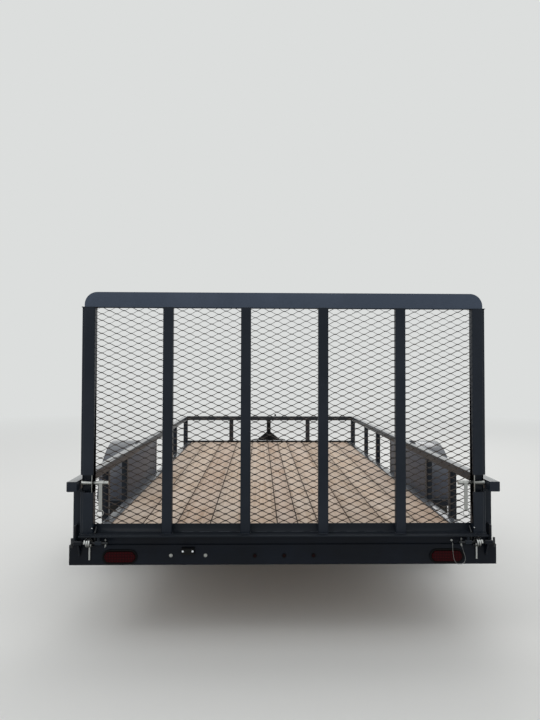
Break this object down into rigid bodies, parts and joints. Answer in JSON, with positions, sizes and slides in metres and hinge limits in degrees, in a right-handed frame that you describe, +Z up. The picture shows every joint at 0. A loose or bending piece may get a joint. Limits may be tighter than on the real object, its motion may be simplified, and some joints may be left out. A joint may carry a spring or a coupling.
{
  "type": "utility trailer",
  "caption": "Single-axle open utility trailer with a plank deck, tube top rail on posts, round fenders, tongue jack and a mesh ramp gate that swings down at the back.",
  "frame": {"origin": "centre of the hitch ball in the coupler's socket", "axes": "+X to the trailer's right, +Y forward along the tongue, +Z up"},
  "size_m": [2.594, 5.3977, 1.814],
  "materials": {
    "spring_zinc": "zinc-plated spring steel",
    "axle_black": "black chassis enamel",
    "frame_paint": "gloss charcoal enamel",
    "zinc_plate": "bright zinc plating",
    "deck_wood": "weathered rough-sawn softwood",
    "mesh_paint": "dark enamel with light rust",
    "hub_cap": "bright dust cap",
    "lamp_red": "clear red lens in a black rubber grommet",
    "lamp_black": "black plastic",
    "wheel_paint": "black wheel enamel",
    "lamp_amber": "amber lens",
    "tyre_rubber": "matt tyre rubber"
  },
  "bodies": {
    "chassis": {"assist_spring_left": "spring_zinc", "assist_spring_right": "spring_zinc", "axle": "axle_black", "bumper": "frame_paint", "bumper_ears": "frame_paint", "corner_gusset_left": "frame_paint", "corner_gusset_right": "frame_paint", "coupler": "frame_paint", "coupler_latch": "zinc_plate", "crossmembers": "frame_paint", "deck_planks": "deck_wood", "fender_braces": "frame_paint", "fender_left": "frame_paint", "fender_right": "frame_paint", "front_header": "frame_paint", "hinge_pins": "zinc_plate", "jack_crank": "axle_black", "jack_sleeve": "axle_black", "leaf_springs": "axle_black", "marker_lamps": "lamp_red", "plate_lamp": "lamp_black", "posts_front": "frame_paint", "posts_left": "frame_paint", "posts_right": "frame_paint", "rear_sill": "frame_paint", "side_markers": "lamp_amber", "side_rail_left": "frame_paint", "side_rail_right": "frame_paint", "spring_hangers": "axle_black", "spring_seats": "axle_black", "tail_lamps": "lamp_red", "tongue_leg_left": "frame_paint", "tongue_leg_right": "frame_paint", "top_rail_front": "frame_paint", "top_rail_left": "frame_paint", "top_rail_right": "frame_paint", "wheel_bay_panels": "frame_paint"},
    "jack": {"jack_leg": "zinc_plate"},
    "wheel_left": {"tyre_left": "tyre_rubber", "rim_left": "wheel_paint", "hub_left": "hub_cap"},
    "wheel_right": {"tyre_right": "tyre_rubber", "rim_right": "wheel_paint", "hub_right": "hub_cap"},
    "gate": {"gate_bars": "frame_paint", "gate_foot": "frame_paint", "gate_latch_guides": "zinc_plate", "gate_latch_left": "zinc_plate", "gate_latch_right": "zinc_plate", "gate_mesh": "mesh_paint", "gate_side_left": "frame_paint", "gate_side_right": "frame_paint", "gate_sleeves": "frame_paint", "gate_spring_arms": "spring_zinc", "gate_top_bar": "frame_paint"}
  },
  "joints": [
    {"name": "gate_hinge", "type": "hinge", "parent": "chassis", "child": "gate", "pos_m": [0, -5.3407, 0.098], "axis": [1, 0, 0], "range_deg": [0, 112]},
    {"name": "wheel_left_spin", "type": "hinge", "parent": "chassis", "child": "wheel_left", "pos_m": [-1.188, -3.754, -0.092], "axis": [1, 0, 0], "continuous": true},
    {"name": "wheel_right_spin", "type": "hinge", "parent": "chassis", "child": "wheel_right", "pos_m": [1.188, -3.754, -0.092], "axis": [1, 0, 0], "continuous": true},
    {"name": "jack_slide", "type": "slide", "parent": "chassis", "child": "jack", "axis": [0, 0, 1], "range_m": [0, 0.25]}
  ]
}
